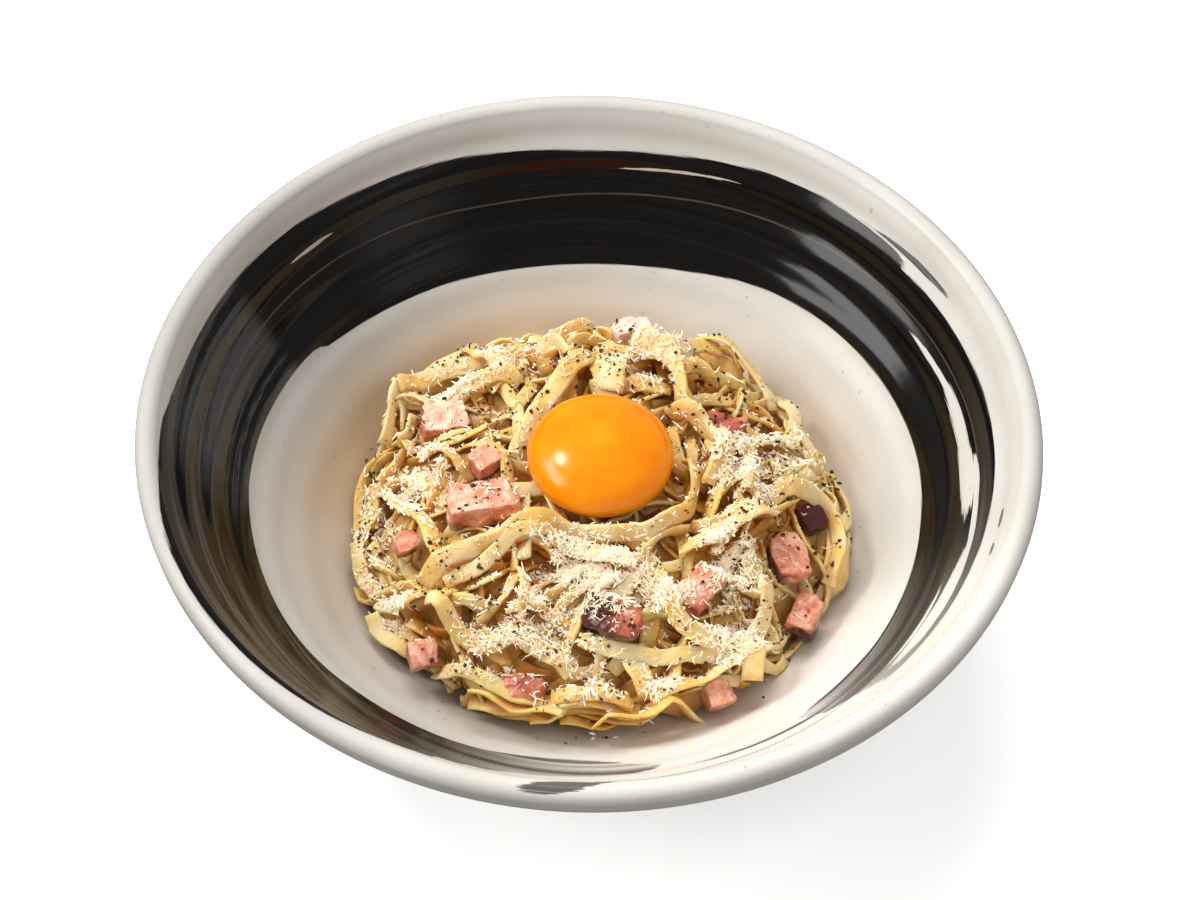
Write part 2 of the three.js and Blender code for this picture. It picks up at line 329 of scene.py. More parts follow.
# The band's edges: distance down the inside from the rim's outer line, in mm, by degrees round
# from the right-hand side.
band_top = [(-180, 10), (-170, 8), (-160, 5.6), (-140, 5.2), (-120, 6.5), (-113, 9), (-110, 20),
            (-106, 34), (-101, 40), (-94, 42), (-87, 44), (-81, 48), (-76, 53), (-74, 75),
            (-56, 75), (-52, 44), (-44, 31), (-38, 23.5), (-30, 21.6), (-10, 19.4), (5, 18.9),
            (28, 19.6), (36, 19.4), (40, 17.2), (46, 16.4), (60, 16.6), (80, 19.2), (92, 19.8),
            (108, 18), (125, 16.6), (147, 14.6), (165, 13.9), (173, 12.6), (180, 10)]
band_foot = [(-180, 45.8), (-165, 47.3), (-150, 48.6), (-130, 53.3), (-120, 56), (-110, 59),
             (-100, 62.3), (-92, 63.4), (-86, 62), (-80, 57.5), (-76, 53), (-74, 30), (-56, 30),
             (-52, 47.5), (-48, 49.8), (-42, 50.4), (-30, 49.8), (-10, 48.9), (15, 46.8),
             (45, 47), (60, 48.4), (75, 51.4), (95, 52.6), (120, 51.3), (135, 50), (145, 48.4),
             (147, 46.8), (160, 46), (180, 45.8)]


def by_angle(points, span=80):
    """A value up to span that follows these points, each degrees and a value, round the bowl."""
    scaled = [((turn + 180) / 360, value / span) for turn, value in points]
    share = degrees * (1 / 360) + 0.5
    return degrees.node("FloatCurve", {"Value": share}, points=scaled) * span


def brush_mark(turn, place, half_turn, half_width, slope=0.0):
    """1 inside a long thin mark at this angle and distance along, 0 outside it."""
    off_turn = (degrees - turn) * (1 / half_turn)
    off_line = (along - place - (degrees - turn) * slope) * (1 / half_width)
    inside = 1 - off_turn * off_turn - off_line * off_line
    return (inside + fine_wobble * 0.9 + (hairs - 0.5) * 1.8).step(0.0, 0.2)


# Where the brush frayed the band's edges, ran dry and left spots out.
ragged = by_angle([(-180, 0.6), (-110, 0.8), (-60, 5), (-36, 3.6), (-20, 1.4), (0, 1.2), (28, 3.2),
                   (46, 1.2), (60, 0.8), (180, 1.2)], 8)
frayed = (streaks - 0.5) * 2.4 * ragged + fine_wobble * 0.9
in_band = ((along - by_angle(band_top) + frayed + wobble * 0.8).step(-0.2, 0.3)
           * (by_angle(band_foot) - along + frayed * 0.35 + wobble * 0.3).step(-0.2, 0.3))
dryness = by_angle([(-180, 0), (-150, 4), (-125, 12), (-108, 26), (-90, 42), (-77, 46), (-56, 58),
                    (-49, 46), (-42, 30), (-20, 18), (-4, 10), (16, 4), (34, 3), (60, 0),
                    (180, 0)]) * (1 / 80)
covered = (streaks - dryness * 0.75 + 0.10 + fine_wobble * 0.10).step(-0.05, 0.10)
see_through = 0.92 - washes.step(0.36, 0.62) * 0.72 + (0.5 - hairs) * 0.6
thin_paint = 1 - dryness.step(0.12, 0.6) * see_through
gaps = [(77, 23.7, 9, 0.45, 0.14), (138, 23.2, 4.2, 0.6), (33, 17.6, 4.5, 1.3, 0.45),
        (20, 30.5, 10, 0.9, 0.05), (9, 30.6, 10, 2.0, -0.03), (0, 30.8, 8, 2.8),
        (-10, 27.2, 9, 1.2, 0.05), (-26, 29, 13, 2.6, -0.12), (-2, 27.4, 5, 1.3),
        (-30, 33.5, 9, 1.1, -0.05)]
for gap in gaps:
    covered = covered * (1 - brush_mark(*gap))

# Stray touches of the brush outside the band.
smears = brush_mark(-93, 5.0, 5, 2.0, 0.30)
for mark in [(-18.5, 14.2, 1.2, 0.8, 0.2), (-13, 14.2, 1.8, 0.8), (36, 15.8, 9, 0.9, 0.06),
             (-66, 32.4, 19, 0.7, 0.05), (-59, 42.4, 12, 1.0, -0.12), (-68, 45.6, 5, 1.2, -0.1),
             (-86, 8, 7, 0.8, 0.5)]:
    smears = smears.math("MAXIMUM", brush_mark(*mark))
smears = smears * streaks.step(0.25, 0.5) * 0.85
painted = (in_band * covered * thin_paint).math("MAXIMUM", smears)

# The ivory: iron specks, painted shade and light, and bare clay on the ring of the foot.
specks = spot.noise(520, 1).step(0.70, 0.76) * spot.noise(90, 2).step(0.45, 0.7)
ivory = spot.noise(28, 3, 0.55).ramp((0.3, (0.555, 0.53, 0.485)), (0.7, (0.625, 0.605, 0.57)))
# Painted shade: a warm brown low on the wall where the heap shades it and its light bounces on to
# it, most at the back and left.
painted_warm_shade = (by_angle([(-180, 46), (-150, 22), (-120, 6), (-90, 3), (-60, 16), (-40, 8), (0, 12),
                     (30, 44), (50, 30), (90, 60), (140, 80), (165, 66), (180, 46)]) * (1 / 80)
           * (along + wobble * 6).step(51, 74))
ivory = (painted_warm_shade * 0.85).mix(ivory, (0.56, 0.37, 0.19, 1))
ivory = (specks * 0.45).mix(ivory, (0.30, 0.22, 0.14, 1))
# Painted light and shade: the ivory is darker round the left and back and lighter at the front and
# front right.
painted_light_by_side = by_angle([(-180, 0.76), (-150, 0.80), (-125, 0.90), (-90, 1.12), (-60, 1.2),
                      (-30, 1.2), (-10, 0.97), (40, 0.93), (80, 0.90), (115, 0.86), (150, 0.72),
                      (180, 0.76)], 2)
ivory = painted_light_by_side.node("VectorMath", {0: ivory, 3: painted_light_by_side}, operation="SCALE")
bare = 1 - height.step(0.0006, 0.0022)
ivory = bare.mix(ivory, (0.42, 0.31, 0.21, 1))

# The black: a painted grey reflection at the left, and a painted highlight along a thrown ridge.
black = streaks.ramp((0.35, (0.007, 0.0055, 0.005)), (0.6, (0.002, 0.0017, 0.0016)))
# Painted reflection: greyer where the glossy black on the left mirrors the bright wall across the
# bowl.
painted_grey_reflection = (by_angle([(-180, 0.9), (-174, 0.4), (-166, 0), (-150, 0), (108, 0), (124, 0.3),
                       (136, 0), (151, 0), (155, 1), (180, 1)], 1)
             * (washes + fine_wobble * 0.3).step(0.40, 0.50))
black = (painted_grey_reflection * 0.8).mix(black, (0.06, 0.06, 0.063, 1))
# Painted highlight: the black is paler along the line where a thrown ridge catches the light.
thrown_line = by_angle([(-180, 32), (0, 26.5), (20, 27), (60, 29.5), (90, 32.4), (105, 33),
                        (120, 31.6), (150, 30), (180, 32)])
off_ridge = (along - thrown_line + fine_wobble * 0.5).math("ABSOLUTE")
painted_ridge_highlight = off_ridge.step(0.35, 0.1) * streaks.step(0.3, 0.5)
black = (painted_ridge_highlight * 0.5).mix(black, (0.13, 0.095, 0.07, 1))

# The glaze is a little uneven, and outside it shows the lines that the turning tool cut.
turning_lines = (along * 0.75 + wobble * 1.5).math("SINE") * (along * -1).step(3, 12)
ripple = spot.noise(60, 3) * 0.5 + spot.noise(240, 2) * 0.12 + turning_lines * 0.5
finish_material(tree, Base_Color=painted.mix(ivory, black),
                Roughness=0.13 + bare * 0.6 + (1 - painted) * 0.2 + dryness * 0.3,
                Normal=ripple.bump(0.12, 0.0008), Specular_IOR_Level=0.26)
bowl.data.materials.append(glaze)
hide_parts("bowl")
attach(bowl, "root")

# ---- Pasta ----
# Cooked fettuccine, rolled thin and cut in ribbons, tossed in a cream sauce and dropped in a heap.
# Each strand lies on those under it and stands on its edge where it turns sharply.
heap_centre = np.array([1.5, 0.0])
heap_radius = 68.0
heap_edge_height = 25.0
heap_rise = 28.5
core_depth = 9
yolk_low, yolk_high = (np.array(corner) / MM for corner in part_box("egg_yolk"))
yolk_middle = (yolk_low + yolk_high) / 2
yolk_half = (yolk_high - yolk_low) / 2
strand_width = 5.0
strand_thickness = 1.4
cell = 0.8
cells = 192
axis = (np.arange(cells) - (cells - 1) / 2) * cell
grid_x, grid_y = np.meshgrid(axis, axis, indexing="ij")
rng = np.random.default_rng(12)
# The vector noise that bends the strands takes its seed from the clock unless it is given one.
noise.seed_set(1795512761)


def wall_height(radius):
    """How high the bowl's inside is at this radius."""
    return np.interp(radius, inner_wall[:, 0], inner_wall[:, 1])


def heap_reach(turn):
    """The radius of the heap's foot, which isn't quite round, at this angle."""
    return heap_radius * (1 + 0.02 * np.cos(turn - 0.4) + 0.02 * np.sin(3 * turn + 1.2)
                          + 0.014 * np.sin(7 * turn + 2.1))


def heap_top(x, y):
    """The height of the finished heap, with the nest for the yolk in it."""
    dx, dy = x - heap_centre[0], y - heap_centre[1]
    share = np.minimum(np.hypot(dx, dy) / heap_reach(np.arctan2(dy, dx)), 0.999)
    nest = np.hypot(x - yolk_middle[0], y - yolk_middle[1]) / (0.8 * yolk_half[0])
    return heap_edge_height + heap_rise * np.sqrt(1 - share ** 4) - 4 * np.exp(-nest ** 4)


def softened(values, spread):
    """The values smoothed along their first axis."""
    reach = int(3 * spread) + 1
    kernel = np.exp(-0.5 * (np.arange(-reach, reach + 1) / spread) ** 2)
    padded = np.pad(values, [(reach, reach)] + [(0, 0)] * (values.ndim - 1), mode="edge")
    parts = [padded[i:i + len(values)] * weight for i, weight in enumerate(kernel / kernel.sum())]
    return np.sum(parts, axis=0)


def softened_grid(grid, spread):
    return softened(softened(grid, spread).T, spread).T


def cell_of(x, y):
    """The cells of the grid that these places are in."""
    i = np.clip(np.rint(x / cell + (cells - 1) / 2).astype(int), 0, cells - 1)
    j = np.clip(np.rint(y / cell + (cells - 1) / 2).astype(int), 0, cells - 1)
    return i, j


# The height that the heap is to reach over each cell, and the height that it has so far, which
# starts from the bowl's wall and from a core that no strand fills.
grid_wall = wall_height(np.hypot(grid_x, grid_y))
grid_out = np.hypot(grid_x - heap_centre[0], grid_y)
grid_reach = heap_reach(np.arctan2(grid_y, grid_x - heap_centre[0]))
grid_side = grid_wall + 2 + 1.5 * np.maximum(grid_reach - grid_out, 0)
grid_target = np.minimum(heap_top(grid_x, grid_y), grid_side)
piled = np.maximum(grid_wall, grid_target - core_depth)

dice_boxes = []
for number in range(1, 16):
    low, high = (np.array(corner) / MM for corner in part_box(f"bacon_{number:02d}"))
    dice_boxes.append((low, high))


def in_the_way(x, y, z):
    """The share of these places that are inside the yolk or a die of bacon."""
    off = ((x - yolk_middle[0]) ** 2 + (y - yolk_middle[1]) ** 2) / (yolk_half[0] - 0.5) ** 2
    hit = (off < 1) & (z > yolk_middle[2] - yolk_half[2] * np.sqrt(np.clip(1 - off, 0, 1)) - 1)
    for low, high in dice_boxes:
        middle, half = (low + high) / 2, (high - low) / 2 * 0.8
        hit |= (abs(x - middle[0]) < half[0]) & (abs(y - middle[1]) < half[1]) & (z > low[2] + 2)
    return hit.mean()


def drawn(route):
    """The route as a smooth line of points 1 mm apart."""
    route = np.array(route, float)
    reach = np.concatenate([[0], np.cumsum(np.hypot(*np.diff(route, axis=0)[:, :2].T))])
    steps = np.linspace(0, reach[-1], max(8, int(reach[-1])))
    line = np.stack([np.interp(steps, reach, route[:, i]) for i in range(route.shape[1])], 1)
    return softened(line, min(4.0, len(line) / 8))


def draped(need, sink):
    """A line that stays over the ground it needs but bends only as a strand can."""
    line = softened(need, 2.0)
    for _ in range(6):
        line = softened(np.maximum(line, need - sink), 1.4)
    return line


def strand_shape(line, bank, width, sink):
    """The strand's sides, its samples across, its middle height and the samples' heights."""
    along = np.gradient(line, axis=0)
    along /= np.hypot(*along.T)[:, None] + 1e-9
    side = np.stack([-along[:, 1], along[:, 0]], 1)
    share = np.linspace(-0.5, 0.5, 9) * width
    flat, rise = np.cos(bank)[:, None] * share, np.sin(bank)[:, None] * share
    x = line[:, :1] + side[:, :1] * flat
    y = line[:, 1:2] + side[:, 1:] * flat
    need = (piled[cell_of(x, y)] - rise).max(1) + 0.5 * strand_thickness * np.cos(bank)
    height = draped(need, sink)
    return side, x, y, height, height[:, None] + rise


def lay(line, bank, width, sink):
    """Lays a strand and piles it up. Gives its middle line, bank angles and width."""
    side, x, y, height, levels = strand_shape(line, bank, width, sink)
    for shift in (-0.5, 0, 0.5):
        edge = shift * strand_thickness * np.sin(bank)[:, None]
        where = cell_of(x + side[:, :1] * edge, y + side[:, 1:] * edge)
        np.maximum.at(piled, where, levels + 0.5 * strand_thickness * np.cos(bank)[:, None])
    return np.column_stack([line, height]), bank, width


def natural_bank(line, lean):
    """A strand lies flat where it runs straight and stands up where it turns sharply."""
    way = np.unwrap(np.arctan2(*np.gradient(line, axis=0).T[::-1]))
    bend = softened(abs(np.gradient(way)), 4.0)
    knots = 2 + len(line) // 10
    places = np.linspace(0, len(line), knots)
    swing = np.interp(np.arange(len(line)), places, rng.normal(0, 34, knots))
    lean_over = lean * (18 + 54 * np.clip(bend * 14, 0, 1))
    return np.radians(lean_over + softened(swing, 4.0))


def sunken_ends(line, depth, reach):
    """How far down a strand's ends tuck themselves in, for each point of its line."""
    from_end = np.minimum(np.arange(len(line)), np.arange(len(line))[::-1])
    return depth * np.exp(-(from_end / reach) ** 2)


def wandering_route(start, longest):
    """A strand's route over the heap: it curls round the nest or across, and turns at the edge."""
    turn = math.atan2(start[1], start[0] - heap_centre[0])
    first_way = turn + rng.choice([-1, 1]) * math.pi / 2 + rng.normal(0, 1.2)
    arms = []
    for way in (first_way, first_way + math.pi):
        curl = rng.choice([-1, 1]) / rng.uniform(8, 34)
        change = int(rng.uniform(14, 40))
        points = [np.array(start, float)]
        for step in range(int(rng.uniform(6, longest))):
            if step % change == change - 1:
                curl = rng.choice([-1, 1]) / rng.uniform(7, 34)
            off = points[-1] - heap_centre
            outward = math.atan2(off[1], off[0])
            near_edge = np.hypot(*off) - (heap_reach(outward) - 7)
            if near_edge > 0:
                along_edge = outward + math.copysign(math.pi / 2 + 0.3, math.sin(way - outward))
                way += (0.12 + 0.05 * near_edge) * math.sin(along_edge - way)
            way += curl
            points.append(points[-1] + np.array([math.cos(way), math.sin(way)]))
        arms.append(points)
    return softened(np.array(arms[1][:0:-1] + arms[0]), 2.0)


def edge_route():
    """A strand's route round the foot of the heap, where it slid down on to the bowl."""
    turns = rng.random() * 2 * math.pi + np.linspace(0, rng.uniform(0.3, 0.8), 24)
    sway = np.interp(turns, np.linspace(turns[0], turns[-1], 4), rng.uniform(2.2, 11, 4))
    out = heap_reach(turns) - sway
    return drawn(heap_centre + np.stack([out * np.cos(turns), out * np.sin(turns)], 1))


foot_strands = 38
laid = []
for _ in range(foot_strands):
    route = edge_route()
    bank = np.radians(rng.uniform(-50, 10) + softened(rng.normal(0, 40, len(route)), 6.0) * 2)
    laid.append(lay(route, bank, strand_width * rng.uniform(0.6, 1.0), 2.0))

# Strands low down fill the heap and give way to each other, and those over them lie on top. Each
# one takes the best of a few routes that start where the heap is still too low.
low_tries = 320
all_tries = 1200
starts_tried = 6
for number in range(all_tries):
    low = number < low_tries
    if low:
        below, sink, worst, longest = 4.0, 3.5, -2.5, 34
    else:
        below, sink, worst, longest = 0.0, 1.0, -1.0, 50 - 0.03 * number
    missing = np.clip(grid_target - piled - below, 0, 14)
    shortfall = np.where(grid_out < grid_reach - 2, missing, 0) ** 2
    if low and shortfall.sum() < 60:
        continue
    picks = rng.choice(cells * cells, starts_tried, p=shortfall.ravel() / shortfall.sum())
    best = None
    for start in zip(grid_x.ravel()[picks], grid_y.ravel()[picks]):
        route = wandering_route(start, longest)
        bank = natural_bank(route, rng.choice([-1, 1]))
        width = strand_width * rng.uniform(0.62, 1.08)
        _, x, y, height, levels = strand_shape(route, bank, width, sink)
        room = grid_target[cell_of(*route.T)] - 1.0 - height
        overhang = np.clip(np.hypot(x - heap_centre[0], y) - heap_radius - 1, 0, 4).mean()
        score = (np.clip(room, -1, 4).mean() - 0.3 * (np.clip(-room, 0, 9) ** 2).mean()
                 - 12 * in_the_way(x, y, levels) - 2 * overhang)
        if best is None or score > best[0]:
            best = (score, route, bank, width)
    if best[0] > worst:
        line, bank, width = lay(*best[1:], sink)
        lowest = wall_height(np.hypot(*line[:, :2].T)) + 2.6
        sunk = np.maximum(line[:, 2] - sunken_ends(line, 4.5, 6), np.minimum(lowest, line[:, 2]))
        line[:, 2] = softened(sunk, 1.0)
        laid.append((line, bank, width))
    if low:
        carpet_count = len(laid)

# The strands on top, each by its width and the places that it passes, in mm, with how far it leans
# over there, in degrees: with a positive lean its left edge, as it runs, is the higher one.
top_strands = [
    (5.0, [(-54, 32, 20), (-46, 41, 30), (-36, 47, 20), (-24, 48, 10)]),
    (5.0, [(-35, 56, -10), (-28, 43, 10), (-20, 31, 20)]),
    (4.5, [(-38, 27, 20), (-31, 29.5, 30), (-24, 32, 30), (-18, 30, 20)]),
    (5.5, [(-20, 3, 30), (-16, 13, 30), (-13, 23, 30), (-8, 30, 25), (-4, 36, 15), (2, 39, 0)]),
    (7.0, [(5, 24, 5), (6, 31, 0), (6, 38, 5)]),
    (5.5, [(22, 40, 10), (26, 47, 20), (31, 52, 20), (36, 53, 10)]),
    (5.5, [(10, 46, 30), (17, 41, 45), (24, 33, 50), (24, 21, 40)]),
    (4.5, [(28, 57, -20), (36, 54, -35), (43, 48, -45), (48, 41, -40), (51, 34, -20)]),
    (4.5, [(52, 41, -30), (56, 34, -40), (56, 25, -40), (53, 16, -20)]),
    (5.5, [(20, 20, 50), (28, 20, 55), (35, 9, 60), (36, -5, 60), (30, -15, 50)]),
    (5.0, [(31, -7, 60), (35, 2, 60), (44, 10, 30)]),
    (4.8, [(47, -8, 30), (55, -2, 40), (63, 2, 50), (67, -6, 60), (67, -16, 50), (63, -24, 40)]),
    (4.5, [(-56, 2, 30), (-62, -6, 50), (-61, -18, 40), (-54, -28, 10)]),
    (4.2, [(-30, -58, -25), (-22, -62, -35), (-13, -64.5, -38), (-4, -65.5, -35)]),
    (4.2, [(2, -66.5, -38), (12, -65.5, -38), (22, -62.5, -38), (32, -58, -38)]),
    (4.2, [(16, -61.5, -20), (26, -58.5, -30), (35, -53.5, -35), (44, -47, -38), (50, -41, -38)]),
    (4.0, [(-40, -49, 25), (-35, -53, 30), (-29, -56.5, 30), (-22, -60, 25), (-15, -62, 20),
           (-9, -62.5, 10)]),
    (4.0, [(-9, -61, 20), (-2, -63, 30), (4, -62, 20), (9, -62, 0), (13, -60.5, -10)]),
    (5.0, [(-56, -28, 20), (-52, -31, 0), (-46, -32, -10), (-38, -35, -10), (-34, -40, 0)]),
    (4.5, [(-57, -31, 30), (-54, -37, 25), (-49, -41, 15), (-44, -43, 5)]),
    (4.8, [(-42, -38, 0), (-38, -42, 10), (-33, -46, 25), (-28, -49.5, 35), (-22, -49.5, 35),
           (-16, -51, 35), (-10, -53, 35), (-5, -55.5, 25), (-2, -58, 0)]),
    (5.5, [(23, -25, -30), (33, -22, -20), (42, -17, -10), (50, -12, 10)]),
    (4.8, [(46, -27, -35), (48, -33, -40), (47.5, -37, -45), (44, -43, -45), (38, -48, -45),
           (30, -51, -40), (20, -52, -35), (12, -51.5, -30), (5, -50.5, -10), (-3, -49, 0)]),
    (5.5, [(19, -36, 60), (22, -42, 65), (25, -47, 60), (32, -48.5, 40), (38, -46, 10)]),
    (6.0, [(44, -44, 5), (43.5, -55, 5)]),
    (6.0, [(12, -52, 0), (17, -60, 0)]),
    (4.0, [(-38, -36, 15), (-26, -30.5, 35), (-16, -27, 30), (-6, -27, 20), (4, -29, 10),
           (14, -31, 0)]),
    (5.2, [(-44, -34, 20), (-34, -30, 40), (-25, -25.5, 50), (-16, -22, 45), (-7, -22, 40),
           (3, -23.5, 45), (13, -23, 55), (22, -18.5, 65), (28, -11, 72), (29, -3, 70),
           (26, 4, 60)]),
]
under_count = carpet_count + (len(laid) - carpet_count) // 3
filled = piled.copy()

# Torn bits lie about between the long strands and the top ones.
bit_tries = 110
for _ in range(bit_tries):
    turn, out = rng.random() * 2 * math.pi, heap_radius * rng.uniform(0.45, 0.95)
    start = heap_centre + out * np.array([math.cos(turn), math.sin(turn)])
    route = wandering_route(start, 30)
    first = rng.integers(0, max(len(route) - 20, 1))
    route = route[first:first + rng.integers(9, 20)]
    bank = natural_bank(route, rng.choice([-1, 1]))
    width = strand_width * rng.uniform(0.6, 1.0)
    _, x, y, _, levels = strand_shape(route, bank, width, 1.2)
    on_heap = np.hypot(x - heap_centre[0], y).max() < heap_radius
    if in_the_way(x, y, levels) < 0.02 and on_heap:
        line, bank, width = lay(route, bank, width, 1.2)
        line[:, 2] -= sunken_ends(line, 2.0, 3)
        laid.append((line, bank, width))

for width, course in top_strands:
    line = drawn(course)
    swing = softened(rng.normal(0, 26, len(line)), 3.0)
    line, bank, width = lay(line[:, :2], np.radians(line[:, 2] + swing), width, 0.6)
    line[:, 2] -= sunken_ends(line, 2.2, 3.5)
    laid.append((line, bank, width))

section_points = 10
noodle_section = bpy.data.curves.new("noodle_section", "CURVE")
section_line = noodle_section.splines.new("POLY")
section_line.points.add(section_points - 1)
section_line.use_cyclic_u = True
for number, point in enumerate(section_line.points):
    turn = -2 * math.pi * (number + 0.5) / section_points
    corner = [math.copysign(abs(part) ** 0.6, part) for part in (math.cos(turn), math.sin(turn))]
    point.co = (corner[0] * strand_width / 2 * MM, corner[1] * strand_thickness / 2 * MM, 0, 1)
section_object = bpy.data.objects.new("noodle_section", noodle_section)


def noodles(name, strands, every, material):
    """One mesh of these strands: the cut section of a noodle, drawn along each one's line."""
    drawing = bpy.data.curves.new(name, "CURVE")
    drawing.dimensions = "3D"
    drawing.twist_mode = "Z_UP"
    drawing.bevel_mode = "OBJECT"
    drawing.bevel_object = section_object
    drawing.use_fill_caps = True
    for line, bank, width in strands:
        pick = np.unique(np.r_[np.arange(0, len(line), every), len(line) - 1])
        spline_made = drawing.splines.new("POLY")
        spline_made.points.add(len(pick) - 1)
        swell = 1 + 0.05 * np.interp(pick, np.linspace(0, len(line), 9), rng.normal(0, 1, 9))
        places = np.column_stack([line[pick] * MM, np.ones(len(pick))])
        spline_made.points.foreach_set("co", places.ravel())
        spline_made.points.foreach_set("tilt", bank[pick])
        spline_made.points.foreach_set("radius", swell * width / strand_width)
    source = bpy.data.objects.new(name, drawing)
    bpy.context.collection.objects.link(source)
    seen = source.evaluated_get(bpy.context.evaluated_depsgraph_get())
    mesh = bmesh.new()
    mesh.from_mesh(bpy.data.meshes.new_from_object(seen))
    bpy.data.objects.remove(source)
    bmesh.ops.remove_doubles(mesh, verts=mesh.verts, dist=1e-6)
    for vert in mesh.verts:
        vert.co += (noise.noise_vector(vert.co * 450) * 0.00027
                    + noise.noise_vector(vert.co * 160) * 0.0006)
    mark_heap(mesh, 0.25)
    piece = smooth_object(name, mesh)
    piece.data.materials.append(material)
    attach(piece, "root")
    return piece


# Where the grated cheese lies thickest, by the middle of each drift, its spread and its share.
drifts = [(7, -34, 8, 0.15), (-4, -31, 7, 0.07), (23, -38, 4.5, 0.05), (37, -27, 7, 0.09),
          (40, -47, 6, 0.05), (-13, -47, 9, 0.06), (20, -58, 4, 0.02), (-50, -32, 4, 0.02),
          (-36, 34, 8, 0.05), (-22, 42, 8, 0.03), (-47, 2, 11, 0.07), (42, 0, 9, 0.07),
          (54, 14, 9, 0.04), (16, 38, 9, 0.03), (-24, -50, 9, 0.03), (2, -58, 9, 0.02),
          (36, -46, 8, 0.02), (-58, -20, 8, 0.02), (1, 0, 52, 0.16)]


def dusting(x, y):
    """How thick the fine cheese lies here."""
    return sum(share * math.exp(-((x - cx) ** 2 + (y - cy) ** 2) / (spread * spread))
               * 700 / spread ** 2 for cx, cy, spread, share in drifts)


def mark_heap(mesh, least):
    """Stores each point's depth in the heap, of which the least share counts at the foot, and
    how much cheese fell there."""
    depth = mesh.verts.layers.float.new("depth")
    dust = mesh.verts.layers.float.new("dust")
    for vert in mesh.verts:
        x, y = vert.co.x / MM, vert.co.y / MM
        i, j = cell_of(np.array(x), np.array(y))
        from_foot = (heap_radius - math.hypot(x - heap_centre[0], y)) / 18
        share = min(max(from_foot, least), 1)
        # The depth sets the painted shade of the pasta and sauce, and at the foot only a share of
        # it counts.
        vert[depth] = max(float(heap_skin[i, j]) - vert.co.z / MM, 0) * share
        vert[dust] = dusting(x, y)


def creamy(name, pale, golden, film_share, hollow_shade_share, roughness, bump_size):
    """Pasta dough and cream, with painted shade: pale up high, golden brown down in the hollows.
    """
    material, tree = new_material(name)
    spot = object_place(tree)
    depth = stored(tree, "depth")
    dust = stored(tree, "dust")
    # A random number for each strand, and how far the surface faces up.
    each = tree.node("NewGeometry", output=8)
    up = tree.node("NewGeometry", output=1).part(2)
    cloudy = spot.noise(110, 4, 0.6)
    film = spot.noise(60, 4, 0.65).step(0.44, 0.60)
    # Painted shade: deeper in the heap the dough turns golden, the cream film thins out and the
    # hollows go dark brown.
    dough = (each * 0.28 + cloudy * 0.8 + depth * 0.06).step(0.3, 1.05).mix(pale, golden)
    coated = film * film_share * (1 - (depth * 0.25).step(0.2, 1.0))
    dough = coated.mix(dough, (0.91, 0.73, 0.44, 1))
    hollow_shade = (depth * 0.20 + cloudy * 0.5 - 0.3).step(0.1, 1.0)
    dough = (hollow_shade * hollow_shade_share).mix(dough, (0.46, 0.19, 0.025, 1))
    grit = spot.noise(1000, 2).step(0.67, 0.72)
    dough = (grit * 0.5).mix(dough, (0.30, 0.17, 0.05, 1))
    crumbly = spot.noise(620, 4, 0.75)
    flakes = (crumbly + dust * 0.09 + up * 0.1 - hollow_shade * 0.25
              + spot.noise(90, 2) * 0.2).step(0.83, 0.93)
    dough = (flakes * 0.9).mix(dough, (0.95, 0.86, 0.66, 1))
    rough_film = crumbly * 0.9 + spot.noise(150, 2) * 0.7
    finish_material(tree, Base_Color=dough, Roughness=roughness + film * 0.1 + flakes * 0.25,
                    Normal=rough_film.bump(0.5, bump_size), Subsurface_Weight=0.6,
                    Subsurface_Radius=(1.0, 0.6, 0.26), Subsurface_Scale=0.0035,
                    Specular_IOR_Level=0.45)
    return material


heap_skin = softened_grid(piled, 3)
noodle = creamy("creamy_noodle", (0.87, 0.585, 0.215, 1), (0.79, 0.395, 0.06, 1), 0.68, 0.92,
                0.34, 0.0009)
under = noodles("fettuccine_under", laid[:under_count], 3, noodle)
pasta = noodles("fettuccine", laid[under_count:], 2, noodle)
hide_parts("pasta")

# The sauce fills the heap to a little below the strands under the torn bits and the top ones: a
# round sheet, with a skirt down to the bowl and a bottom.
sauce_below_mean = 4.0
sauce_below_strand = 2.0
sauce_level = softened_grid(filled, 2.6) - sauce_below_mean
sauce_level = np.minimum(sauce_level, filled - sauce_below_strand)
sauce_level = softened_grid(sauce_level, 0.6)

sauce_rings = 60
sauce_pitch = 1.2
sauce_margin = 6.0
sauce_mesh = bmesh.new()
spoke = [sauce_mesh.verts.new((sauce_pitch * MM * i, 0, 0)) for i in range(sauce_rings + 1)]
spin_up(sauce_mesh, spoke, 240)
rim_edges = [edge for edge in sauce_mesh.edges if edge.is_boundary]
skirt = bmesh.ops.extrude_edge_only(sauce_mesh, edges=rim_edges)["geom"]
skirt_verts = {item for item in skirt if isinstance(item, bmesh.types.BMVert)}
for vert in sauce_mesh.verts:
    out = min(math.hypot(vert.co.x, vert.co.y) / (sauce_rings * sauce_pitch * MM), 1)
    turn = math.atan2(vert.co.y, vert.co.x)
    uneven = noise.noise(Vector((math.cos(turn) * 3, math.sin(turn) * 3, 5.0)))
    radius = out * (heap_reach(turn) - sauce_margin + 2.5 * uneven)
    x, y = heap_centre[0] + radius * math.cos(turn), radius * math.sin(turn)
    if vert in skirt_verts:
        x, y = 0.9 * x, 0.9 * y
    level = wall_height(math.hypot(x, y)) + 0.4
    if vert not in skirt_verts:
        level = max(level, float(sauce_level[cell_of(np.array(x), np.array(y))]))
    vert.co = (x * MM, y * MM, level * MM)
bottom_edges = [edge for edge in sauce_mesh.edges if edge.is_boundary]
bmesh.ops.contextual_create(sauce_mesh, geom=bottom_edges)
top_verts = [vert for vert in sauce_mesh.verts if vert not in skirt_verts]
